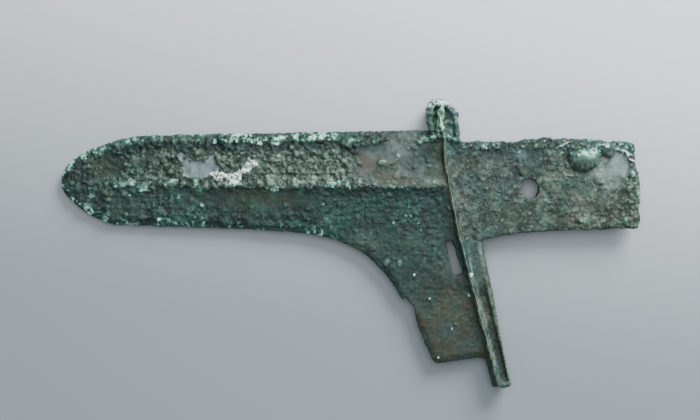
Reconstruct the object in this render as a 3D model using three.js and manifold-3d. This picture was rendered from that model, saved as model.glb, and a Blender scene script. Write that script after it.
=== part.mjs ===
// A bronze dagger-axe head, cast in one piece: a ridged blade that sweeps down into a neck, a grooved rail
// with a lug at each end, where the shaft bears, and a flat tang with a tying hole. It lies on its side.
// Millimetres. The casting is laid out with x from point to tang, y up the rail and z through its thickness.
// y = 0 is the blade's ridge, x = 0 is just behind the rail's crest there, z = 0 is the middle of the metal.
import * as THREE from "three";
import { mergeGeometries, mergeVertices } from "three/addons/utils/BufferGeometryUtils.js";
import Module from "manifold-3d";

// Blade: its edges stand this far from the ridge at the rail, and draw in towards the point.
const bladeLength = 151.9;
const upperEdge = 22;
const lowerEdge = 19.1;
const upperDrawIn = 0.018;
const lowerDrawIn = 0.035;
const upperTip = { start: 113, reach: 38.9, power: 2 };
const lowerTip = { start: 132, reach: 19.9, power: 1.42 };
const noseWidth = 2.4;
const platePlain = 1.7; // half of the plate's thickness, as every thickness here is
const edgeThin = 0.55;
const bevelRise = 0.34;
const ridgeRise = 1.9;
const ridgeReach = 4.2;
const pointRest = { back: 5, deep: 1.65 };

// Neck under the blade's root, with a chip out of its front edge.
const neckPlate = 1.45;
const neckBevel = { width: 2.2, depth: 0.8 };
const cornerRadius = 2.6;

// Rail: the crest leans from upright, more below the tang than beside it, and steps forward into the upper
// lug. Its heights stand from the middle of the metal.
const railTop = 32.8;
const railBottom = -77.1;
const crestCrossing = -0.95;
const leanBeside = 0.185;
const leanBelow = 0.262;
const lugStep = 1.65;
const crestHigh = 4.4;
const crestRiseAtEnds = 1.05;
const footWidth = 1.9;
const footWidthAtLug = 1.3;
const railWidth = 8.2;
const railWidthAtEnd = 4.8;
const railWidthAtLug = 1.6;
const sideHigh = 1.2;
const backHigh = 1.4;
const troughHigh = 1.9;
const rimHigh = 3.0;
const rimWidth = 0.9;

// Upper lug: its outline, from the blade round to the tang.
const lugCorners = [
  [-8.4, 19],
  [-9.2, 25],
  [-9.2, 31],
  [-7.7, 32.8],
  [-4.6, 33.6],
  [-1, 31.9],
  [1.3, 29.3],
  [2.6, 25],
  [2.5, 17],
];
const lugMiddle = [-3.1, 24];
const lugFloor = 1.5;
const lugWall = 3.3;
const lugHollow = 0.74; // the hollow's size as a share of the outline

// Tang and its tying hole, and the slot beside the rail.
const tangPlate = 1.7;
const tangBevel = { width: 0.5, depth: 0.35 };
const hole = { x: 30, y: -0.8, radius: 3.5, stretch: 1.1 };
const slotCorners = [[-2.3, -20.9], [0.3, -20.5], [4.5, -33.6], [0.4, -34.7]];

const wasm = await Module();
wasm.setup();

// A closed geometry as a solid that can be joined and cut.
function solid(geometry) {
  const bare = geometry.clone();
  bare.deleteAttribute("normal");
  bare.deleteAttribute("uv");
  const merged = mergeVertices(bare.index ? bare.toNonIndexed() : bare, 1e-4);
  return new wasm.Manifold(
    new wasm.Mesh({
      numProp: 3,
      vertProperties: merged.attributes.position.array,
      triVerts: new Uint32Array(merged.index.array),
    }),
  );
}

// A solid as a geometry that a mesh can show.
function geometryOf(joined) {
  const { vertProperties, triVerts } = joined.getMesh();
  const geometry = new THREE.BufferGeometry();
  geometry.setAttribute("position", new THREE.BufferAttribute(vertProperties, 3));
  geometry.setIndex(new THREE.BufferAttribute(triVerts, 1));
  geometry.computeVertexNormals();
  return geometry;
}

// A block, closed all round, whose points are moved to place(along, across, side); along and across run from
// 0 to 1, and side is -1 on the underside and 1 on top.
function shapedBlock(alongSteps, acrossSteps, place) {
  const geometry = new THREE.BoxGeometry(1, 1, 2, alongSteps, acrossSteps, 1);
  const point = geometry.attributes.position;
  for (let i = 0; i < point.count; i++) {
    const along = point.getX(i) + 0.5;
    const across = point.getY(i) + 0.5;
    point.setXYZ(i, ...place(along, across, Math.sign(point.getZ(i))));
  }
  return geometry;
}

// A plate of an outline, its thickness centred on z = 0 and its rim bevelled inwards.
function plate(outline, halfThickness, bevel, curveSegments = 12) {
  const flat = 2 * (halfThickness - bevel.depth);
  const geometry = new THREE.ExtrudeGeometry(outline, {
    depth: flat,
    bevelEnabled: bevel.depth > 0,
    bevelThickness: bevel.depth,
    bevelSize: bevel.width,
    bevelOffset: -bevel.width,
    bevelSegments: 1,
    curveSegments,
  });
  return geometry.translate(0, 0, -flat / 2);
}

const lerp = THREE.MathUtils.lerp;
const smooth = THREE.MathUtils.smoothstep;
const noBevel = { width: 0, depth: 0 };

// How much of its full width the blade keeps at x, on one side of the tip.
function tipShare(x, tip) {
  const past = Math.min(Math.max((-tip.start - x) / tip.reach, 0), 1);
  return (1 - past ** tip.power) ** (1 / tip.power);
}

function ridgeLine(x) {
  return noseWidth / 2 * smooth(-x, 80, bladeLength);
}

function upperEdgeAt(x) {
  return lerp(noseWidth, upperEdge + upperDrawIn * x, tipShare(x, upperTip));
}

function lowerEdgeAt(x) {
  return -(lowerEdge + lowerDrawIn * x) * tipShare(x, lowerTip);
}

// The crest of the rail at height y.
function crestAt(y) {
  const below = Math.max(-y - 17, 0);
  const beside = Math.min(y + below, 11);
  return crestCrossing - leanBeside * beside + leanBelow * below - lugStep * smooth(y, 17, 25);
}

// Blade: thin edges, a short bevel, a flat plate and a median ridge with hollow sides.
function blade() {
  const stations = 48;
  const strips = 16;
  return shapedBlock(stations, strips, (along, across, side) => {
    const station = -bladeLength * (1 - along ** 1.7);
    const from = 2 * across - 1;
    const share = Math.abs(from) ** 1.25;
    const edge = from < 0 ? lowerEdgeAt(station) : upperEdgeAt(station);
    const y = lerp(ridgeLine(station), edge, share);
    const x = station + crestAt(y) * along ** 3;
    const edgeGap = Math.min(Math.abs(edge - y), 0.8 * (station + bladeLength));
    const plain = Math.min(platePlain, edgeThin + bevelRise * edgeGap);
    const ridge = ridgeRise * Math.exp(-Math.abs(y - ridgeLine(station)) / ridgeReach);
    const taper = smooth(station + bladeLength, -30, 90);
    return [x, y, side * (plain + ridge * taper * Math.min(edgeGap / 4, 1))];
  });
}

// Neck: the blade's lower edge sweeps down into a plate that ends square beside the lower lug.
function neck() {
  const outline = new THREE.Shape();
  outline.moveTo(-100, -8);
  outline.lineTo(-100, -13.5);
  outline.lineTo(-76, -16.6);
  outline.bezierCurveTo(-44, -17.6, -31, -22.5, -19.5, -43);
  outline.lineTo(-13.4, -53.2);
  outline.lineTo(-7.2 - 0.4 * cornerRadius, -67.4 + 0.9 * cornerRadius);
  outline.quadraticCurveTo(-6.9, -68.6, -7.2 + cornerRadius, -68.3);
  outline.lineTo(9.5, -66.2);
  outline.lineTo(crestAt(-67) + 2, -67);
  outline.lineTo(crestAt(-17) + 3, -17);
  outline.lineTo(2, -8);
  return plate(outline, neckPlate, neckBevel, 16);
}

// The chip out of the neck's front edge.
function neckChip() {
  const outline = new THREE.Shape();
  outline.moveTo(-24, -45.5);
  outline.lineTo(-19.4, -43.6);
  outline.lineTo(-17.6, -43);
  outline.lineTo(-15.8, -45);
  outline.lineTo(-14.3, -46.4);
  outline.lineTo(-13.9, -50.6);
  outline.lineTo(-13, -54);
  outline.lineTo(-24, -54);
  return plate(outline, 2 * neckPlate, noBevel);
}

// Rail: a crest along its front, and behind it a trough with a lower rim, which starts under the tang.
// At the tang and in the upper lug only the crest stands up.
function rail() {
  const stations = 54;
  const strips = 14;
  return shapedBlock(stations, strips, (along, across, side) => {
    const height = lerp(railTop, railBottom, along);
    const lean = Math.atan(lerp(leanBeside, leanBelow, smooth(-height, 12, 22)));
    const channel = smooth(-height, 24, 44);
    const atLug = smooth(height, 15, 20);
    const foot = lerp(footWidth, footWidthAtLug, atLug);
    const tapering = lerp(railWidth, railWidthAtEnd, smooth(-height, 22, -railBottom));
    const breadth = lerp(tapering, railWidthAtLug, smooth(height, 12, 19));
    const from = 2 * across - 1;
    const q = from < 0 ? -foot * (-from) ** 1.2 : breadth * from;
    const nearEnd = 1 - smooth(height - railBottom, 0.6, 3);
    const floor = lerp(backHigh, lerp(troughHigh, rimHigh, nearEnd), channel);
    const crest = crestHigh * lerp(1, crestRiseAtEnds, smooth(Math.abs(height + 22), 20, 55));
    const front = lerp(sideHigh, crest, (1 + Math.min(q, 0) / foot) ** 1.5);
    const behind = floor + (crest - floor) * Math.exp(-Math.max(q, 0) / lerp(1.5, 1, channel));
    const rim = channel * (rimHigh - floor) * Math.exp((q - breadth) / rimWidth);
    const z = q < 0 ? front : behind + rim;
    const x = crestAt(height) + q * Math.cos(lean);
    return [x, height + q * Math.sin(lean) * smooth(-height, 10, 60), side * z];
  });
}

// Upper lug: a rounded plate with a raised rim, hollow on both sides of the rail's crest.
function upperLug() {
  const outline = (share) => {
    const middle = new THREE.Vector2(...lugMiddle);
    const points = lugCorners.map(([x, y]) => new THREE.Vector2(x, y).lerp(middle, 1 - share));
    return new THREE.Shape(new THREE.SplineCurve(points).getPoints(28));
  };
  const floor = solid(plate(outline(1), lugFloor, noBevel));
  const wall = solid(plate(outline(1), lugWall, { width: 0.5, depth: 0.5 }));
  const hollow = solid(plate(outline(lugHollow), lugWall + 1, noBevel));
  return floor.add(wall.subtract(hollow));
}

// Tang: a flat plate, ragged at its free end, with a small curve into the rail's foot.
function tang() {
  const outline = new THREE.Shape();
  outline.moveTo(0, 17.5);
  outline.lineTo(18, 17.2);
  outline.lineTo(25.5, 17.5);
  outline.quadraticCurveTo(34, 19.2, 42, 18.6);
  outline.lineTo(57.7, 17.8);
  outline.lineTo(70.2, 16.6);
  outline.lineTo(70.6, 9);
  outline.lineTo(71.4, 5.2);
  outline.quadraticCurveTo(72.9, -2, 71.7, -8.5);
  outline.lineTo(72.4, -13.4);
  outline.lineTo(71.6, -15.9);
  outline.lineTo(53.8, -16.4);
  outline.lineTo(34.4, -17.2);
  outline.lineTo(21, -18.7);
  outline.lineTo(13.6, -19.9);
  outline.lineTo(12.3, -20.9);
  outline.lineTo(5, -21);
  return plate(outline, tangPlate, tangBevel);
}

// Corrosion blisters that stand on the tang's upper face near its end, each half an ellipsoid.
function blisters() {
  const lumps = [
    { x: 50.9, y: 9.8, long: 6.4, wide: 4.6, high: 4.7, turn: 0.15 },
    { x: 46.6, y: 11.4, long: 3.4, wide: 2.6, high: 3.2, turn: 0.3 },
    { x: 59.4, y: 14.2, long: 3.8, wide: 3.2, high: 3.4, turn: -0.6 },
    { x: 56.4, y: 2.8, long: 2.9, wide: 3.4, high: 2.8, turn: 0.4 },
  ];
  return lumps.map(({ x, y, long, wide, high, turn }) => {
    const dome = new THREE.SphereGeometry(1, 20, 6, 0, 2 * Math.PI, 0, Math.PI / 2);
    const floor = new THREE.CircleGeometry(1, 20).rotateX(Math.PI / 2).rotateY(Math.PI);
    const lump = mergeGeometries([dome, floor]);
    return solid(lump.rotateX(Math.PI / 2).scale(long, wide, high).rotateZ(turn).translate(x, y, 0));
  });
}

function holeCutter() {
  return new THREE.CylinderGeometry(hole.radius, hole.radius, 6 * tangPlate, 32)
    .rotateX(Math.PI / 2)
    .scale(1, hole.stretch, 1)
    .translate(hole.x, hole.y, 0);
}

function slotCutter() {
  const outline = new THREE.Shape(slotCorners.map(([x, y]) => new THREE.Vector2(x, y)));
  return plate(outline, 3 * crestHigh, noBevel);
}

const neckWithChip = solid(neck()).subtract(solid(neckChip()));
const casting = [neckWithChip, solid(rail()), upperLug(), solid(tang())]
  .reduce((joined, piece) => joined.add(piece), solid(blade()))
  .subtract(solid(slotCutter()))
  .subtract(solid(holeCutter()));
const grown = blisters().reduce((joined, lump) => joined.add(lump), casting);

const bronze = new THREE.MeshStandardMaterial({
  name: "patinated_bronze",
  color: new THREE.Color(0.2, 0.27, 0.24),
  roughness: 0.75,
  metalness: 0.35,
});
const axeHead = new THREE.Mesh(geometryOf(grown), bronze);
axeHead.name = "dagger_axe_head";

// It rests on three places of its underside: the point of the blade and both ends of the rail.
const crestAtEnds = crestRiseAtEnds * crestHigh;
const restPlane = new THREE.Plane().setFromCoplanarPoints(
  new THREE.Vector3(pointRest.back - bladeLength, 0, -pointRest.deep),
  new THREE.Vector3(crestAt(railBottom), railBottom, -crestAtEnds),
  new THREE.Vector3(crestAt(railTop), railTop, -crestAtEnds),
);
axeHead.quaternion.setFromUnitVectors(restPlane.normal, new THREE.Vector3(0, 0, 1));

// The part's origin is under the middle of its bounding box.
const box = new THREE.Box3().setFromObject(axeHead, true);
const middle = box.getCenter(new THREE.Vector3());
axeHead.position.set(-middle.x, -middle.y, -box.min.z);

const part = new THREE.Group();
part.add(axeHead);

export default part;
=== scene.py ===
"""An ancient bronze dagger-axe head that lies flat on a pale table, seen from straight above."""

import math

import bpy
import numpy as np
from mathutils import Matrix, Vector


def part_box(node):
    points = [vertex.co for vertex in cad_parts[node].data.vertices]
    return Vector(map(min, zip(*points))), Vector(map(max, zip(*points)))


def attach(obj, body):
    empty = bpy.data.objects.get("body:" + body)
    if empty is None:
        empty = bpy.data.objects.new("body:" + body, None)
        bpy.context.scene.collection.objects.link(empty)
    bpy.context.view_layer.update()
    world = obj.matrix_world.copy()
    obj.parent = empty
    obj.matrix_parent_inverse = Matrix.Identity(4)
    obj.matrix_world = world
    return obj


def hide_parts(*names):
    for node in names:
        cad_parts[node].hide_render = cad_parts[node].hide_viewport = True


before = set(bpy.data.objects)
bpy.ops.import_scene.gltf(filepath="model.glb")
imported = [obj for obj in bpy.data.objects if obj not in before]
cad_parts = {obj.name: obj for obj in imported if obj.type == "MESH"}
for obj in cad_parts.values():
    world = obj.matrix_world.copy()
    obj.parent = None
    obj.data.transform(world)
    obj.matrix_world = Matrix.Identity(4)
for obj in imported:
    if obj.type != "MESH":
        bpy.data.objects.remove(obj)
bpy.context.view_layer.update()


# The casting: bronze poured in one piece in a mould, then long buried. Blade, neck, rail, lugs and tang are
# one skin of metal under green and brown corrosion, which grew out in warts, crust and blisters. Places on it
# are in millimetres from where the blade's ridge meets the rail: x to the tang, y to the upper lug.
MM = 0.001
POINT_TO_RAIL = 151.88 * MM
RIDGE_TO_LUG_TOP = 33.61 * MM
casting_low, casting_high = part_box("dagger_axe_head")
RIDGE_X = casting_low.x + POINT_TO_RAIL
RIDGE_Y = casting_high.y - RIDGE_TO_LUG_TOP
GRAIN_OF_MESH = 0.29 * MM
MOST_TRIANGLES = 194000
BLADE_LENGTH = 151.8
BUMP_DEPTH = 0.12 * MM

# Colours of the metal, of what grew on it, and of painted light and shade.
BARE_GREEN = (0.048, 0.086, 0.066)
DEEP_GREEN = (0.02, 0.05, 0.041)
OLIVE_BROWN = (0.034, 0.034, 0.018)
RUST_RED = (0.078, 0.051, 0.05)
DRAB_OLIVE = (0.096, 0.103, 0.07)
DULL_BLUE = (0.024, 0.068, 0.082)
DARK_TEAL = (0.005, 0.028, 0.025)
WEAR_AND_HIGHLIGHT_GREY = (0.35, 0.48, 0.4)
HOLLOW_DARK_AND_SHADE = (0.005, 0.013, 0.011)
SPECK_BLACK = (0.01, 0.015, 0.014)
SPARKLE_GREY = (0.25, 0.34, 0.28)
SLATE_GREY = (0.18, 0.248, 0.262)
VERDIGRIS_GREEN = (0.02, 0.085, 0.064)
MINT_GREEN = (0.1, 0.31, 0.23)
PALE_MINT = (0.44, 0.74, 0.6)
CHALK_AND_GLINT_WHITE = (0.8, 0.92, 0.9)

bpy.ops.object.select_all(action="DESELECT")
casting = bpy.data.objects.new("bronze_casting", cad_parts["dagger_axe_head"].data.copy())
casting.data.materials.clear()
bpy.context.scene.collection.objects.link(casting)
bpy.context.view_layer.objects.active = casting
casting.select_set(True)
bpy.ops.object.mode_set(mode="EDIT")
bpy.ops.mesh.select_all(action="SELECT")
bpy.ops.mesh.remove_doubles(threshold=0.01 * MM)
bpy.ops.object.mode_set(mode="OBJECT")

remesh = casting.modifiers.new("even_skin", "REMESH")
remesh.mode = "VOXEL"
remesh.voxel_size = GRAIN_OF_MESH
bpy.ops.object.modifier_apply(modifier=remesh.name)
soften = casting.modifiers.new("worn_corners", "SMOOTH")
soften.factor = 0.5
soften.iterations = 2
bpy.ops.object.modifier_apply(modifier=soften.name)

count = len(casting.data.vertices)
skin = np.empty(count * 3, np.float32)
casting.data.vertices.foreach_get("co", skin)
skin = skin.reshape(-1, 3).astype(float)
outward = np.empty(count * 3, np.float32)
casting.data.vertex_normals.foreach_get("vector", outward)
outward = outward.reshape(-1, 3).astype(float)
X = (skin[:, 0] - RIDGE_X) / MM
Y = (skin[:, 1] - RIDGE_Y) / MM
TOP = np.clip(0.5 + 2.5 * outward[:, 2], 0, 1)
RIM = 1 - np.abs(outward[:, 2])


def blend(value, start, end):
    """0 before start, 1 past end, and a smooth step between them; start may be the larger."""
    t = np.clip((value - start) / (end - start), 0, 1)
    return t * t * (3 - 2 * t)


def band(value, start, end, soft):
    """1 from start to end, fading to 0 over soft on either side."""
    return blend(value, start - soft, start + soft) * blend(value, end + soft, end - soft)


def chance(cell, seed):
    """A random number from 0 to 1 that belongs to each cell."""
    cell = cell.astype(np.uint64)
    mixed = cell[:, 0] * np.uint64(374761393) + cell[:, 1] * np.uint64(668265263)
    mixed += cell[:, 2] * np.uint64(2246822519) + np.uint64(seed * 7919)
    mixed = (mixed ^ (mixed >> np.uint64(15))) * np.uint64(2654435761)
    mixed = (mixed ^ (mixed >> np.uint64(13))) & np.uint64(0xFFFFFF)
    return mixed / 0xFFFFFF


def noise(size, seed, octaves=3, stretch=(1, 1, 1)):
    """Smooth random values from about -1 to 1 over the skin, in lumps of this size in millimetres."""
    total = np.zeros(count)
    for octave in range(octaves):
        place = skin / (np.array(stretch) * size * MM) * 2**octave + 17.3 * seed + 5.1 * octave
        corner = np.floor(place).astype(np.int64)
        part = place - corner
        part = part * part * (3 - 2 * part)
        for step in range(8):
            offset = np.array([step & 1, step >> 1 & 1, step >> 2])
            share = np.prod(np.where(offset, part, 1 - part), axis=1)
            total += share * (2 * chance(corner + offset, seed * 9 + octave) - 1) * 0.55**octave
    return total * 1.4


BENT = np.stack([noise(1.7, 3, 2), noise(1.7, 4, 2), noise(1.7, 5, 2)], axis=1) * 0.22 * MM


def warts(size, seed, share):
    """Warts, one to a cell of this size in millimetres: heights from 0 to 1, and a random tint for each."""
    place = (skin + BENT) / (size * MM) + 11.7 * seed
    first = np.floor(place - 0.5).astype(np.int64)
    height, tint = np.zeros(count), np.zeros(count)
    for step in range(8):
        cell = first + np.array([step & 1, step >> 1 & 1, step >> 2])
        draw = [chance(cell, seed * 11 + number) for number in range(7)]
        middle = cell + 0.5 + 0.3 * (2 * np.stack(draw[:3], axis=1) - 1)
        gap = np.linalg.norm(place - middle, axis=1) / (0.34 + 0.34 * draw[3])
        dome = np.clip(1 - gap**2, 0, 1) ** 0.8 * (0.45 + 0.55 * draw[4])
        lift = dome * np.clip(6 * (share - draw[5]), 0, 1)
        higher = lift > height
        height[higher], tint[higher] = lift[higher], draw[6][higher]
    return height, tint


WARP = np.stack([noise(2.6, 1, 2), noise(2.6, 2, 2)], axis=1)


def patch(x, y, long, wide, turn=0, soft=0.35, ragged=1.0):
    """1 inside an oval on the upper face, 0 outside, with a ragged edge; sizes are half axes."""
    angle = math.radians(turn)
    dx = X + ragged * WARP[:, 0] - x
    dy = Y + ragged * WARP[:, 1] - y
    along = (dx * math.cos(angle) + dy * math.sin(angle)) / long
    across = (dy * math.cos(angle) - dx * math.sin(angle)) / wide
    return blend(np.hypot(along, across), 1 + soft, 1 - soft) * TOP


def streak(points, width, ragged=0.5):
    """1 along a line through these places on the upper face, 0 further off than half the width."""
    nearest = np.full(count, 1e9)
    here = np.stack([X + ragged * WARP[:, 0], Y + ragged * WARP[:, 1]], axis=1)
    for start, end in zip(points, points[1:]):
        start, way = np.array(start), np.array(end) - np.array(start)
        along = np.clip((here - start) @ way / (way @ way), 0, 1)
        nearest = np.minimum(nearest, np.linalg.norm(here - start - along[:, None] * way, axis=1))
    return blend(nearest, 0.7 * width, 0.3 * width) * TOP


def crest_x(y):
    """Where the rail's crest runs."""
    below = np.maximum(-y - 17, 0)
    return -0.95 - 0.185 * np.minimum(y + below, 11) + 0.262 * below - 1.65 * blend(y, 17, 25)


def upper_edge(x):
    past = np.clip((-113 - x) / 38.9, 0, 1)
    return (22 + 0.018 * x) * np.sqrt(1 - past**2)


def lower_edge(x):
    past = np.clip((-132 - x) / 19.9, 0, 1)
    return -(19.1 + 0.035 * x) * (1 - past**1.42) ** (1 / 1.42)


# Which part of the casting each point of the skin is on, from 0 to 1.
behind_crest = X - crest_x(Y)
across_rail = behind_crest / (8.2 - 3.4 * np.clip((33 - Y) / 110, 0, 1))
below_tang = blend(Y, -19, -23)
on_lug = blend(Y, 20.3, 21.8) * band(X, -13, 12, 1)
on_rail = band(across_rail, -0.45, 1.3, 0.1) * below_tang
on_tang = blend(behind_crest, 0.2, 1.5) * blend(Y, -22.5, -20.5) * (1 - on_lug)
on_blade = blend(behind_crest, -0.5, -2.5) * (1 - on_lug)
on_neck = on_blade * blend(Y - lower_edge(X), 2, -4) * blend(X, -58, -42)
ridge_gap = Y - 1.6 * blend(-X, 80, 150)
facet = on_blade * blend(ridge_gap, 0.6, -0.6)
edge_gap = np.where(ridge_gap > 0, upper_edge(X) - Y, np.where(X > -50, 12, Y - lower_edge(X)))
from_tip = X + BLADE_LENGTH
cloud, drift, ragged_line = noise(14, 12, 3), noise(8, 14, 3), noise(5, 15, 3)
low_neck = on_neck * blend(Y + 9 * ragged_line, -30, -54)

# Smooth places, where the skin of the metal shows between the warts.
pale_patch = patch(-97.4, 6.8, 6.9, 3.8, 2, 0.12, 0.9)
for points, width in (
    ([(-101.3, 8), (-103.2, 10.2)], 3.0), ([(-103.2, 10.2), (-105.2, 12.6)], 1.2),
    ([(-93.4, 8), (-92.9, 10.2)], 3.2), ([(-92.9, 10.2), (-92.7, 12.4)], 1.3),
):
    pale_patch = np.maximum(pale_patch, streak(points, width, 0.9))
squiggle_patch = patch(-25.8, 13.6, 6.2, 3.6, 8, 0.4, 1.4)
red_patch = patch(-33, 11.2, 2.6, 5, 0, 0.5, 1.4)
near_slot = streak([(-1, -21), (2.6, -34)], 8, 0)
smooth_root = patch(-18, 9, 19, 11.5, 0, 0.25) * blend(ridge_gap, -0.3, 1)
under_ridge = patch(-76, -4.4, 30, 3.6, 0, 0.4, 1.6) * facet
olive_patch = patch(-134, 8.5, 7.5, 4.4, 8, 0.45, 1.5)
scar = patch(64.6, 9.0, 3.1, 3.9, 15, 0.2, 0.6)
pale_tang = patch(61.5, 5.2, 6.5, 5.6, 10, 0.5, 1.5)
main_blister = patch(50.7, 9.8, 6.4, 4.6, 8, 0.12, 0.3)
small_blisters = patch(46.4, 11.5, 3.2, 2.5, 17, 0.2, 0.3) + patch(59.4, 14.2, 3.8, 3.2, -34, 0.2, 0.3)
low_blister = patch(56.4, 2.8, 2.7, 3.2, 20, 0.2, 0.3)
smooth = np.clip(
    pale_patch + 0.9 * squiggle_patch + 0.8 * red_patch + 0.7 * smooth_root + 0.75 * under_ridge
    + 0.7 * olive_patch + 0.8 * low_neck + 0.9 * scar + 0.7 * pale_tang + main_blister + low_blister,
    0, 1,
)

# Crust: a rough layer, thickest along the blade's upper edge, on its ridge and round the upper lug's foot.
upper_crust = on_blade * blend(edge_gap + 1.6 * ragged_line, 5.4, 2.6) * (ridge_gap > 0)
upper_crust = np.clip(upper_crust * (0.55 + 0.45 * drift), 0, 1)
crust_gap = np.interp(X, (-130, -86, -76, -62, -50, -42, -25), (1.2, 1.3, 3, 2.2, 1.6, 3, 4.4))
bright_crust = band(edge_gap + 0.6 * ragged_line, crust_gap - 1.5, crust_gap + 1.5, 0.7)
bright_crust = bright_crust * band(X, -140, -26, 5)
bright_crust *= on_blade * (ridge_gap > 0) * TOP * (0.45 + 0.55 * band(X, -88, -46, 4))
dark_band = band(edge_gap + 0.8 * ragged_line, crust_gap + 1.6, crust_gap + 4.4, 0.8)
dark_band = dark_band * band(X, -132, -24, 6) * TOP
dark_band *= on_blade * (ridge_gap > 0)
lower_crust = on_blade * blend(edge_gap + ragged_line, 3.8, 1.6) * (ridge_gap < 0)
ridge_crust = on_blade * blend(np.abs(ridge_gap - 0.6 + 0.8 * ragged_line), 1.9, 0.7) * blend(X, -136, -122)
ridge_crust *= (0.4 + 0.6 * blend(X, -24, -40)) * blend(noise(6, 7, 2), -0.6, 0.3) * TOP
lug_foot = band(Y + 1.5 * ragged_line, 17.6, 20.8, 0.9) * band(X, -13, 9, 1.5)
lug_left = on_lug * band(X, -10.8, -6.4, 0.4) * band(Y, 20, 30.5, 0.8) * TOP * (1 - RIM)
white_streak = streak([(-91.8, 4.4), (-87, 2.5), (-83.6, 2.6), (-80.6, 6), (-77, 8.8)], 3.1, 1.0)
flaky_ring = streak([(47.2, 4.2), (43.2, 4.6), (40, 7), (41.6, 8.6), (44.4, 8.3), (45.2, 6.6)], 1.1, 1.5)
flaky_ring *= blend(noise(1.5, 19, 2), -0.5, 0.2)
squiggle = patch(-26.7, 9.3, 2.1, 0.85, 4, 0.35, 0.6)
squiggle += streak([(-24, 9.2), (-22.8, 9.9), (-21.2, 10), (-20.4, 10.9)], 0.9, 1.3)
slivers = streak([(39.6, 15.4), (42, 16.2), (44.2, 17.1)], 0.8, 1.1)
slivers += streak([(63.2, 14.5), (65.6, 14.2), (67.6, 12.4), (70.2, 10.2)], 0.7, 0.7)
crescent = streak([(25, 8), (26.6, 6.8), (27, 4.9)], 1.2, 0.3)
rings = 0.5 + 0.5 * np.sin(np.hypot(X - 68.5, 0.7 * (Y - 7)) * 5.2 + 2.6 * WARP[:, 0])

# Warts in four sizes, thickest on the blade and largest towards its point: each has a width, a seed, a height
# and the share of its places that is taken.
to_tip = blend(from_tip, 95, 15)
tang_edges = on_tang * np.clip(
    blend(Y, -9, -12.5) * blend(X, 40, 48) + blend(X, 66, 69.5) + blend(Y, 13, 16), 0, 1
)
bare = 1 - smooth
flaky_blade = band(X, -92, -38, 8) * blend(ridge_gap, 0.5, 2.5) * blend(edge_gap, 4, 6) * on_blade * bare
sizes = (
    (
        3.6, 21, 1.0,
        bare * on_blade * (0.6 * to_tip + 0.12) * (1 - 0.7 * on_neck) + 0.25 * (upper_crust + flaky_blade),
    ),
    (
        2.3, 22, 0.7,
        bare * on_blade * (0.5 + 0.4 * to_tip) * (1 - 0.4 * on_neck) + 0.4 * (upper_crust + flaky_blade)
        + 0.4 * on_lug + 0.6 * tang_edges + 0.2 * lower_crust + 0.08 * bare * on_tang,
    ),
    (
        1.5, 23, 0.45,
        bare * (0.8 * on_blade * (1 - 0.3 * on_neck) + 0.22 * on_tang) + 0.6 * on_lug + 0.9 * lug_foot
        + 0.6 * ridge_crust + 0.1 * on_rail + 0.7 * tang_edges + 0.08 * bare * on_tang,
    ),
    (
        0.95, 24, 0.2,
        0.12 + bare * (0.6 * on_blade + 0.4 * on_tang) + 0.2 * on_rail + 0.3 * on_lug,
    ),
)
wart, wart_tint, tip = np.zeros(count), np.zeros(count), np.zeros(count)
for size, seed, tall, share in sizes:
    height, tint = warts(size, seed, np.clip(share, 0, 0.97) * (0.35 + 0.65 * TOP))
    wart += tall * height * (1 - 0.35 * np.clip(wart, 0, 1))
    higher = height * min(1, 2 * tall) > tip
    tip = np.where(higher, height * min(1, 2 * tall), tip)
    wart_tint = np.where(higher, tint, wart_tint)
wart *= 1 + 0.3 * flaky_blade

# Growths that stand out by themselves: place, radius and height.
lone_warts = [
    (-121.6, 5.6, 1.9, 1.1), (-119.8, -0.5, 2.1, 1.0), (-129.5, 0.6, 1.9, 0.8), (-113, -13.2, 1.6, 0.8),
    (-137.5, 12.8, 1.5, 0.7), (-142.2, 7.5, 1.4, 0.7), (-83, 13.8, 1.4, 0.8), (-60.2, 12.8, 1.6, 1.0),
    (-53.4, 13.4, 1.5, 0.9), (-59.3, 9.4, 1.7, 1.0), (-49.2, 11.9, 1.4, 0.7), (-12.6, 17.1, 1.3, 0.8),
    (-29.6, 17.2, 1.5, 0.9), (-20.2, -30, 1.6, 0.8), (-25.2, -29.4, 1.5, 0.8), (-14.5, -34, 0.6, 0.5),
    (-8.7, -43.2, 0.7, 0.5), (0.1, -54.9, 0.45, 0.4), (-5.2, -66.2, 0.55, 0.45), (7.2, -33.9, 0.7, 0.4),
    (71, -2.6, 1.4, 0.6), (71.3, -7.6, 1.3, 0.6), (71, -12, 1.1, 0.5), (65.2, -8.5, 0.9, 0.5),
    (70.4, 1.2, 1.0, 0.5), (-110.2, 0.5, 1.8, 0.8), (-107, 0.9, 1.5, 0.7), (-103.8, 1.1, 1.5, 0.6),
    (-98.8, 0.5, 1.6, 0.6), (-95, 0.9, 1.6, 0.6), (-74, 0.8, 1.8, 0.7), (-70.2, 1.3, 1.9, 0.8),
    (-60.6, 0.9, 2.1, 0.8), (-57.2, 1.1, 1.5, 0.6), (-48, 1.4, 1.6, 0.6), (-44, 1.2, 1.7, 0.7),
    (-16.4, 7.2, 0.8, 0.4), (-14.7, 7.6, 0.8, 0.4), (-13.2, 7.2, 0.6, 0.3), (48.5, -13, 1.4, 0.7),
    (51.5, -13.6, 1.6, 0.8), (54.4, -13.2, 1.4, 0.7), (58.8, -13.4, 1.0, 0.6), (62.8, -13.6, 1.2, 0.7),
    (66.3, -13.2, 1.3, 0.8), (69.3, 4.8, 1.7, 1.0), (57.8, 1.2, 0.9, 0.4), (45.7, 12.4, 1.0, 0.7),
    (48.2, 11.6, 0.9, 0.5), (50, 12.6, 1.0, 0.6),
]
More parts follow.
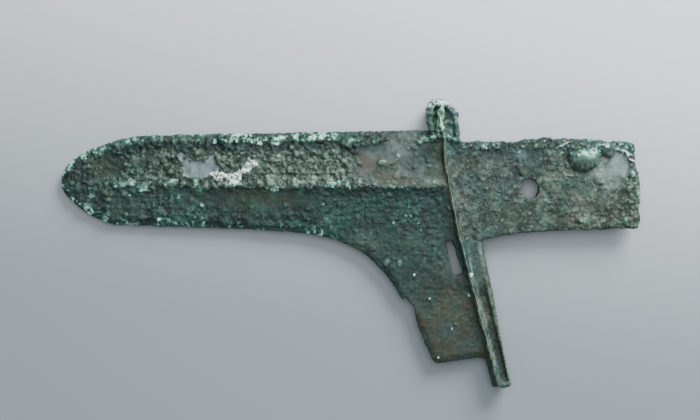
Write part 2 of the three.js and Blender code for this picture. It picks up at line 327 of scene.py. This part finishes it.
# White specks: place and radius. The first, on the rail, is a painted glint.
white_dots = [
    (7.2, -33.9, 0.75), (-14.5, -34, 0.5), (-8.7, -43.2, 0.5), (0.1, -54.9, 0.42), (-5.2, -66.2, 0.5),
]
dots = np.zeros(count)
for x, y, radius in white_dots:
    dots = np.maximum(dots, blend(np.hypot(X - x, Y - y), 1.2 * radius, 0.5 * radius) * TOP)
lone = np.zeros(count)
for x, y, radius, height in lone_warts:
    gap = np.hypot(X + 0.35 * WARP[:, 0] - x, Y + 0.35 * WARP[:, 1] - y) / radius
    lone = np.maximum(lone, height * np.clip(1 - gap**2.2, 0, 1) * TOP)

coarse, medium, fine = noise(4.5, 8, 3), noise(1.6, 9, 2), noise(0.7, 10, 2)
creases = 1 - np.abs(noise(2.6, 16, 2, (1.6, 1, 1)))
crumpled = np.abs(noise(2.1, 20, 2)) * bare * on_blade * (1 - 0.5 * facet) * (1 - 0.5 * on_neck)
roughness = np.clip(0.7 * on_blade + 0.8 * on_tang + 0.4 * on_rail + on_lug, 0.3, 1) * (1 - 0.75 * smooth)
roughness += 0.6 * (upper_crust + lower_crust + ridge_crust) + 1.3 * lug_foot
groove = band(across_rail, 0.4, 0.86, 0.1) * blend(Y, -36, -44) * blend(Y, -76, -74) * TOP
crest_line = blend(np.abs(behind_crest + 0.1 + 0.25 * medium), 0.6, 0.15) * blend(Y, 22, 18) * TOP
rail_rim = band(across_rail, 0.9, 1.15, 0.07) * below_tang * TOP
lug_rib = blend(np.abs(X + 4.6 + 0.3 * WARP[:, 0]), 1.6, 0.9) * on_lug * TOP
long_grain = noise(0.9, 6, 2, (1, 7, 1))
lug_rim = on_lug * blend(X, 4.5, 7.5)
# The relief in millimetres: each term is a height times where it stands.
relief = (
    wart * (1 - 0.7 * np.clip(pale_patch + scar + main_blister, 0, 1)) + lone
    + roughness * (0.2 * coarse + 0.12 * medium + 0.1 * fine) + 0.2 * low_neck * creases + 0.5 * crumpled
    + 0.2 * upper_crust + 0.35 * bright_crust * (1 + 0.5 * medium) + 0.25 * ridge_crust + 0.3 * lug_foot
    + 0.35 * white_streak * (1 + 0.7 * fine) + 1.1 * lug_left * (1 + 0.4 * coarse + 0.3 * medium)
    + 0.4 * flaky_ring + 0.3 * squiggle + 0.5 * slivers + 0.45 * crescent + 0.2 * scar * rings
    + 0.15 * main_blister * blend(Y, 9.5, 8) * np.sin(3.2 * X) - 0.3 * pale_patch - 0.25 * scar
    - 0.8 * groove + 0.1 * crest_line + 0.2 * rail_rim + 0.4 * lug_rib + 0.08 * on_rail * long_grain
    + 1.1 * band(across_rail, 0.15, 0.95, 0.1) * blend(Y, -74.6, -76) * TOP
    - 0.7 * blend(Y, -75.6, -77) * blend(across_rail, 0.5, 1.1)
    + RIM * ((0.3 + 0.2 * tang_edges + 0.3 * on_lug) * noise(2.4, 11, 2) - 0.1)
)
relief *= (
    (0.35 + 0.65 * np.maximum(TOP, RIM)) * (1 - RIM * (0.45 * on_blade + 0.3 * on_tang))
    * (1 - 0.7 * near_slot)
)
relief *= (
    (1 - 0.6 * blend(from_tip, 5, 1)) * (1 - 0.45 * on_blade * blend(edge_gap, 1.8, 0.3))
    * (1 - 0.25 * facet)
)
skin += outward * relief[:, None] * MM
skin[:, 2] = np.maximum(skin[:, 2], 0)
casting.data.vertices.foreach_set("co", skin.astype(np.float32).ravel())

# What grew where and where light and shade are painted, kept on the skin for the finish: one attribute for
# each kind of corrosion, some of them carrying painted highlights and shade too.
flecks, islands, grit = noise(2.6, 13, 3), noise(5.5, 18, 3), noise(1.1, 17, 2)
# Pale wart tips: partly mint crust, partly a painted highlight on the tops of the warts.
pale_tips = blend(tip, 0.3, 0.85) * blend(wart_tint, 0.4, 0.95) * np.maximum(to_tip, blend(islands, 0, 0.5))
pearls = np.clip(lone * 2, 0, 1) * np.clip(main_blister + blend(X, 67, 70) + patch(-15, 7.4, 3.5, 1.5), 0, 1)
beside_crest = band(behind_crest, -4.2, 1, 0.8) * (1 - on_lug)
facet_green = np.maximum(
    0.42 * blend(islands + 0.9 * grit, -0.1, 1.1),
    0.3 * band(X, -48, -4, 6) * band(Y, -24, -2, 2) * blend(drift + 0.5 * flecks, -0.2, 0.5),
)
kinds = {
    "mint_and_painted_highlight": np.clip(
        0.7 * pale_tips * (1 - 0.4 * on_tang) * (1 - 0.2 * facet)
        + 0.3 * np.clip(lone * 1.6, 0, 1) + 0.3 * pearls
        + bright_crust * (0.35 + 0.5 * blend(flecks, -0.4, 0.3) + 0.4 * grit)
        + 0.25 * upper_crust * blend(flecks, -0.2, 0.6)
        + 0.75 * ridge_crust * blend(flecks + 0.7 * grit, -0.4, 0.6)
        + 0.2 * lower_crust * blend(flecks + 0.5 * grit, -0.2, 0.6)
        + 0.4 * squiggle + 0.3 * flaky_ring + 0.3 * slivers + 1.3 * lug_rib * (0.8 + 0.4 * flecks)
        # The patch at 53.2, 12 is a painted highlight on the main blister's upper side.
        + 0.6 * lug_foot * blend(flecks, -0.3, 0.5) + 0.62 * patch(53.2, 12, 3.6, 2.2, 12, 0.7, 0.4)
        + 0.5 * band(behind_crest, 0.8, 3.8, 0.8) * band(Y, 6, 15.5, 1.5) * blend(flecks + grit, -0.6, 0.6)
        + 0.4 * blend(X, 60, 66) * blend(Y, 10, 15) * on_tang * blend(flecks, -0.6, 0.2)
        + facet * (1 - low_neck) * facet_green + 0.3 * on_tang * blend(islands + 0.4 * grit, 0, 0.7)
        + 0.8 * blend(from_tip, 22, 6) * blend(edge_gap, 5, 1) * blend(tip + 0.6 * grit, 0.2, 0.8)
        + 0.5 * on_tang * blend(Y, 10, 14) * blend(tip + 0.5 * grit, 0.1, 0.8)
        + 0.2 * blend(-edge_gap, -1.2, -0.4) * on_blade
        + 0.4 * on_lug * blend(flecks + 0.5 * grit, -0.3, 0.5),
        0, 1,
    ),
    "brown": np.clip(
        0.8 * under_ridge + 0.9 * low_neck + 0.7 * olive_patch + 0.6 * smooth_root * blend(drift, -0.3, 0.3)
        + 0.65 * on_tang * blend(cloud + 0.6 * drift + 0.3 * grit, -0.1, 0.5)
        + 0.2 * on_blade * blend(cloud, 0.1, 0.6) + 0.8 * beside_crest * blend(Y, 16, 12)
        + 0.5 * on_rail * blend(across_rail, 0.3, 0.5) * blend(long_grain, -0.6, 0.4)
        + 0.4 * on_neck * blend(drift + 0.4 * grit, -0.3, 0.5),
        0, 1,
    ),
    "rust": np.clip(
        0.9 * red_patch + 0.6 * groove + 0.5 * smooth_root * blend(flecks - 0.5 * drift, -0.1, 0.7)
        + 0.6 * on_tang * blend(flecks - 0.8 * cloud + 0.3 * grit, 0.3, 1)
        + 0.35 * facet * blend(flecks + 0.5 * grit, 0.2, 0.9)
        + 0.4 * on_blade * to_tip * blend(drift + 0.5 * grit, 0.1, 0.8)
        + 0.15 * low_neck * blend(flecks, 0, 0.6),
        0, 1,
    ),
    "drab": np.clip(
        0.75 * on_tang * blend(drift + 0.5 * flecks + 0.4 * grit, -0.5, 0.6) * (1 - blend(Y, 11, 15))
        + 0.4 * smooth_root * blend(flecks + 0.4 * grit, -0.6, 0.5),
        0, 1,
    ),
    "teal_and_painted_shade": np.clip(
        # On the lower facet the dark teal is partly its own colour and partly painted shade of a facet that
        # slopes away from the lamp.
        facet * (1 - 0.7 * low_neck) * (1 - 0.3 * on_neck) * (1 - 0.5 * under_ridge)
        * (0.75 + 0.25 * blend(drift, -0.4, 0.4))
        + 0.35 * main_blister + 0.45 * small_blisters + 0.9 * upper_crust + dark_band
        + 0.7 * on_blade * (1 - facet) * to_tip * blend(drift + 0.4 * flecks, -0.3, 0.4)
        + 0.9 * patch(-9.5, 12.5, 5, 5, 0, 0.6, 1.5) + 0.6 * patch(-15, 8, 4.5, 2.8, 0, 0.6, 1.5)
        + 0.5 * on_tang * blend(-islands, 0.2, 0.6) + 0.25 * on_tang * blend(Y, 11, 14)
        + 0.6 * on_rail * blend(Y, -44, -34) * blend(-long_grain, -0.4, 0.4),
        0, 1,
    ),
    "blue": np.clip(
        0.55 * on_tang * blend(X, 44, 26) * blend(drift + 0.4 * grit, -0.3, 0.5)
        + patch(30, 11.5, 6.5, 3.2, 0, 0.5)
        + 0.7 * on_tang * blend(Y, 11, 15) * blend(flecks, -0.4, 0.3)
        + 0.5 * on_rail * (1 - groove) * blend(drift, -0.2, 0.5)
        + 0.4 * facet * blend(cloud, 0, 0.5) + 0.9 * on_lug * blend(X, -2.5, -1),
        0, 1,
    ),
    "chalk_and_painted_glint": np.clip(
        white_streak * (0.85 + 0.6 * grit) + 0.45 * squiggle * blend(Y, 8.8, 9.8)
        + 0.65 * slivers * (1 + 0.4 * fine)
        + pale_patch * (0.3 * blend(long_grain, 0.1, 0.9) + 1.2 * (1 - pale_patch) * blend(X, -96, -101))
        + 0.6 * lug_rim * blend(flecks + grit, -0.1, 0.8)
        + 0.6 * on_lug * blend(Y, 29, 31.5) * blend(flecks + grit, -0.3, 0.6)
        # dots are white specks, the one on the rail a painted glint.
        + 0.55 * bright_crust * blend(flecks + 1.2 * grit, 0, 1) + 0.3 * flaky_ring + dots
        + 0.55 * ridge_crust * blend(flecks + 0.5 * grit, -0.2, 0.5) * band(X, -127, -98, 5)
        + 0.4 * flaky_blade * blend(tip + 0.6 * grit, 0.6, 1.1) * blend(wart_tint, 0.3, 0.9),
        0, 1,
    ),
    "pale": np.clip(
        pale_patch * (0.8 + 0.35 * long_grain + 0.25 * grit) + 0.4 * squiggle_patch * (0.6 + 0.4 * flecks)
        + 0.25 * pale_tang * (0.8 + 0.3 * flecks) + scar * (0.35 + 0.4 * rings)
        + 0.12 * smooth_root * blend(-drift, -0.2, 0.4),
        0, 1,
    ),
    # Pale grey: painted highlights on the rail's crest and rim, the lit band right of the crest, the blade's
    # ridge and the wart tops, with real pale wear on the tang and neck.
    "wear_and_painted_highlight": np.clip(
        0.4 * crest_line * (1 + 0.6 * grit) + 0.6 * rail_rim * (0.7 + 0.3 * flecks)
        + on_rail * band(across_rail, 0.05, 0.32, 0.1) * (0.15 + 0.35 * long_grain)
        + on_blade * (1 - facet) * (1 - 0.8 * np.maximum(upper_crust, dark_band)) * bare
        * (
            0.5 * blend(tip + 0.5 * grit, 0.35, 0.95) * (0.3 + 0.7 * wart_tint)
            + 0.35 * flaky_blade * blend(crumpled + 0.4 * grit, 0.2, 0.8)
        )
        + 0.65 * on_blade * blend(np.abs(ridge_gap - 0.9), 2.4, 1)
        * blend(tip + lone + 0.6 * grit, 0.3, 0.9) * blend(X, -130, -120)
        + 0.4 * pale_tang * (1 + 0.5 * grit) + 0.08 * main_blister
        + 0.35 * blend(tip, 0.3, 0.8) * (0.6 * facet * to_tip + on_tang * (1 + blend(Y, 11, 14)))
        + on_lug * blend(tip + 0.4 * grit, 0.1, 0.8)
        + 0.25 * on_tang * blend(grit, 0.1, 0.8) + 0.5 * lone * on_neck,
        0, 1,
    ),
    # Near black between the warts and in the rail's groove: dark corrosion in the hollows, and painted shade
    # there as well.
    "hollow_dark_and_painted_shade": np.clip(
        0.9 - 1.5 * (wart + lone + 0.35 * coarse + 0.3 * medium) * bare + 0.4 * groove - 1.2 * beside_crest
        - 0.7 * on_lug - 0.8 * smooth - 0.5 * on_tang + 0.3 * on_tang * blend(-grit, 0.1, 0.7)
        - 0.8 * on_rail * (1 - 0.6 * groove)
        - 0.3 * on_neck * (1 - 0.6 * low_neck) - 0.2 * facet + 0.3 * dark_band,
        0, 1,
    ),
}
for name, values in kinds.items():
    layer = casting.data.attributes.new(name, "FLOAT", "POINT")
    layer.data.foreach_set("value", values.astype(np.float32))

thin = casting.modifiers.new("fewer_faces", "DECIMATE")
thin.ratio = min(1, MOST_TRIANGLES / (2 * len(casting.data.polygons)))
bpy.ops.object.modifier_apply(modifier=thin.name)
for vertex in casting.data.vertices:
    vertex.co.z = max(vertex.co.z, 0)
bpy.ops.object.shade_smooth()

patina = bpy.data.materials.new("bronze_patina")
patina.use_nodes = True
tree = patina.node_tree
shader = tree.nodes["Principled BSDF"]
where = tree.nodes.new("ShaderNodeTexCoord").outputs["Object"]


def kind(name):
    """How much of one kind of corrosion there is."""
    source = tree.nodes.new("ShaderNodeAttribute")
    source.attribute_name = name
    return source.outputs["Fac"]


def grains(size, detail=4, roughness=0.6):
    """Fine noise in grains of this size in millimetres."""
    source = tree.nodes.new("ShaderNodeTexNoise")
    source.inputs["Scale"].default_value = 1 / (size * MM)
    source.inputs["Detail"].default_value = detail
    source.inputs["Roughness"].default_value = roughness
    tree.links.new(where, source.inputs["Vector"])
    return source.outputs["Fac"]


def calc(operation, first, second, third=None):
    """A sum on sockets or numbers, kept between 0 and 1."""
    step = tree.nodes.new("ShaderNodeMath")
    step.operation = operation
    step.use_clamp = True
    for socket, value in zip(step.inputs, (first, second, third)):
        if isinstance(value, (int, float)):
            socket.default_value = value
        elif value is not None:
            tree.links.new(value, socket)
    return step.outputs["Value"]


def cover(under, colour, share):
    """Lays a colour over another by a share."""
    mix = tree.nodes.new("ShaderNodeMix")
    mix.data_type = "RGBA"
    tree.links.new(share, mix.inputs["Factor"])
    if isinstance(under, tuple):
        mix.inputs["A"].default_value = (*under, 1)
    else:
        tree.links.new(under, mix.inputs["A"])
    mix.inputs["B"].default_value = (*colour, 1)
    return mix.outputs["Result"]


def rise(value, start, end):
    """0 below start and 1 above end."""
    step = tree.nodes.new("ShaderNodeMapRange")
    step.interpolation_type = "SMOOTHSTEP"
    tree.links.new(value, step.inputs["Value"])
    step.inputs["From Min"].default_value = start
    step.inputs["From Max"].default_value = end
    return step.outputs["Result"]


dust = grains(0.42, 3, 0.7)
speckle = grains(0.9)
crumbs = grains(1.6, 5, 0.7)
blotch = grains(4)
gritty = rise(calc("MULTIPLY_ADD", dust, 0.5, calc("MULTIPLY", speckle, 0.5)), 0.4, 0.6)
colour = cover(BARE_GREEN, DEEP_GREEN, rise(blotch, 0.38, 0.62))
colour = cover(colour, OLIVE_BROWN, calc("MULTIPLY", kind("brown"), rise(crumbs, 0.34, 0.56)))
colour = cover(colour, RUST_RED, calc("MULTIPLY", kind("rust"), rise(crumbs, 0.6, 0.4)))
colour = cover(colour, DRAB_OLIVE, calc("MULTIPLY", kind("drab"), rise(crumbs, 0.35, 0.65)))
colour = cover(colour, DULL_BLUE, calc("MULTIPLY", kind("blue"), rise(crumbs, 0.38, 0.58)))
# Dark teal: corrosion, and on the lower facet partly painted shade.
colour = cover(colour, DARK_TEAL, calc("MULTIPLY", kind("teal_and_painted_shade"), rise(crumbs, 0.72, 0.46)))
# Pale grey: wear, and painted highlights on crests, rims and wart tips.
colour = cover(colour, WEAR_AND_HIGHLIGHT_GREY, calc("MULTIPLY", kind("wear_and_painted_highlight"), calc("MULTIPLY_ADD", gritty, 0.6, 0.3)))
# Near black: dark corrosion and painted shade in the hollows.
colour = cover(colour, HOLLOW_DARK_AND_SHADE, calc("MULTIPLY", kind("hollow_dark_and_painted_shade"), rise(dust, 0.75, 0.4)))
colour = cover(colour, SPECK_BLACK, calc("MULTIPLY", rise(speckle, 0.52, 0.66), 0.68))
calm = calc("MULTIPLY_ADD", kind("teal_and_painted_shade"), 0.3, calc("MULTIPLY", kind("brown"), 0.42))
sparkle = calc("MULTIPLY", rise(dust, 0.54, 0.7), calc("SUBTRACT", 0.48, calm))
colour = cover(colour, SPARKLE_GREY, sparkle)
colour = cover(colour, SLATE_GREY, calc("MULTIPLY", kind("pale"), rise(crumbs, 0.15, 0.55)))
verdigris = rise(calc("MULTIPLY", kind("mint_and_painted_highlight"), calc("ADD", speckle, 0.5)), 0.1, 0.6)
colour = cover(colour, VERDIGRIS_GREEN, calc("MULTIPLY", verdigris, calc("MULTIPLY_ADD", gritty, 0.4, 0.4)))
grainy_mint_and_highlight = calc("MULTIPLY", kind("mint_and_painted_highlight"), calc("MULTIPLY_ADD", gritty, 0.65, 0.5))
# Mint: crust, and painted highlights on wart tips and on the main blister.
colour = cover(colour, MINT_GREEN, rise(grainy_mint_and_highlight, 0.3, 0.9))
colour = cover(colour, PALE_MINT, rise(grainy_mint_and_highlight, 0.45, 0.95))
grainy_chalk_and_glint = calc("MULTIPLY", kind("chalk_and_painted_glint"), calc("MULTIPLY_ADD", gritty, 0.8, 0.35))
# Chalk white: chalky crust, and a painted glint on the rail.
colour = cover(colour, CHALK_AND_GLINT_WHITE, rise(grainy_chalk_and_glint, 0.15, 0.8))
tree.links.new(colour, shader.inputs["Base Color"])
tree.links.new(calc("MULTIPLY_ADD", speckle, 0.4, 0.42), shader.inputs["Roughness"])
shader.inputs["Specular IOR Level"].default_value = 0.28

bump = tree.nodes.new("ShaderNodeBump")
bump.inputs["Distance"].default_value = BUMP_DEPTH
bump.inputs["Strength"].default_value = 0.9
tree.links.new(calc("MULTIPLY_ADD", speckle, 0.5, calc("MULTIPLY", dust, 0.5)), bump.inputs["Height"])
tree.links.new(bump.outputs["Normal"], shader.inputs["Normal"])
casting.data.materials.append(patina)
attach(casting, "root")
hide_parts("dagger_axe_head")


# The table: a sheet of pale paper that the casting lies on, no part of it. A painted light falloff makes the
# paper palest beyond the upper lug and greyer towards the front.
TABLE_SIZE = 4
PAPER_IN_PAINTED_SHADE = (0.242, 0.284, 0.308, 1)
PAPER_IN_PAINTED_LIGHT = (0.64, 0.686, 0.75, 1)
bpy.ops.mesh.primitive_plane_add(size=TABLE_SIZE, location=(0, 0, 0))
table = bpy.context.object
table.name = "pale_table"
paper = bpy.data.materials.new("paper_with_painted_falloff")
paper.use_nodes = True
paper_nodes = paper.node_tree.nodes
paper_links = paper.node_tree.links
along_sheet = paper_nodes.new("ShaderNodeVectorMath")
grade = paper_nodes.new("ShaderNodeMapRange")
tone = paper_nodes.new("ShaderNodeMix")
grade.interpolation_type = "SMOOTHSTEP"
along_sheet.operation = "DOT_PRODUCT"
along_sheet.inputs[1].default_value = (0.15, 1, 0)
grade.inputs["From Min"].default_value = -0.045
grade.inputs["From Max"].default_value = 0.135
tone.data_type = "RGBA"
tone.inputs["A"].default_value = PAPER_IN_PAINTED_SHADE
tone.inputs["B"].default_value = PAPER_IN_PAINTED_LIGHT
paper_links.new(paper_nodes.new("ShaderNodeTexCoord").outputs["Object"], along_sheet.inputs[0])
paper_links.new(along_sheet.outputs["Value"], grade.inputs["Value"])
paper_links.new(grade.outputs["Result"], tone.inputs["Factor"])
paper_links.new(tone.outputs["Result"], paper_nodes["Principled BSDF"].inputs["Base Color"])
paper_nodes["Principled BSDF"].inputs["Roughness"].default_value = 0.9
table.data.materials.append(paper)


# The light: a low lamp beyond the upper lug and the tang rakes over the relief, a broad soft lamp stands high
# above it, and a little light comes from a pale room.
PALE_SKY = (0.93, 0.97, 1, 1)
SKY_STRENGTH = 0.3
for name, size, energy, place in (
    ("low_lamp", 0.4, 9.6, (0.33, 0.5, 0.34)),
    ("broad_lamp", 0.8, 5.4, (0, 0.18, 0.84)),
):
    lamp_data = bpy.data.lights.new(name, "AREA")
    lamp_data.shape = "DISK"
    lamp_data.size = size
    lamp_data.energy = energy
    lamp = bpy.data.objects.new(name, lamp_data)
    lamp.location = place
    lamp.visible_camera = False
    lamp.rotation_euler = (-lamp.location).to_track_quat("-Z", "Y").to_euler()
    bpy.context.scene.collection.objects.link(lamp)

room = bpy.data.worlds.new("pale_room")
room.use_nodes = True
room.node_tree.nodes["Background"].inputs["Color"].default_value = PALE_SKY
room.node_tree.nodes["Background"].inputs["Strength"].default_value = SKY_STRENGTH
bpy.context.scene.world = room


# The camera looks straight down on the casting.
CAMERA_PLACE = (0.35 * MM, 13 * MM, 0.42)
camera_data = bpy.data.cameras.new("overhead")
camera_data.lens = 55
camera_data.sensor_width = 36
camera = bpy.data.objects.new("overhead", camera_data)
camera.location = CAMERA_PLACE
bpy.context.scene.collection.objects.link(camera)
bpy.context.scene.camera = camera
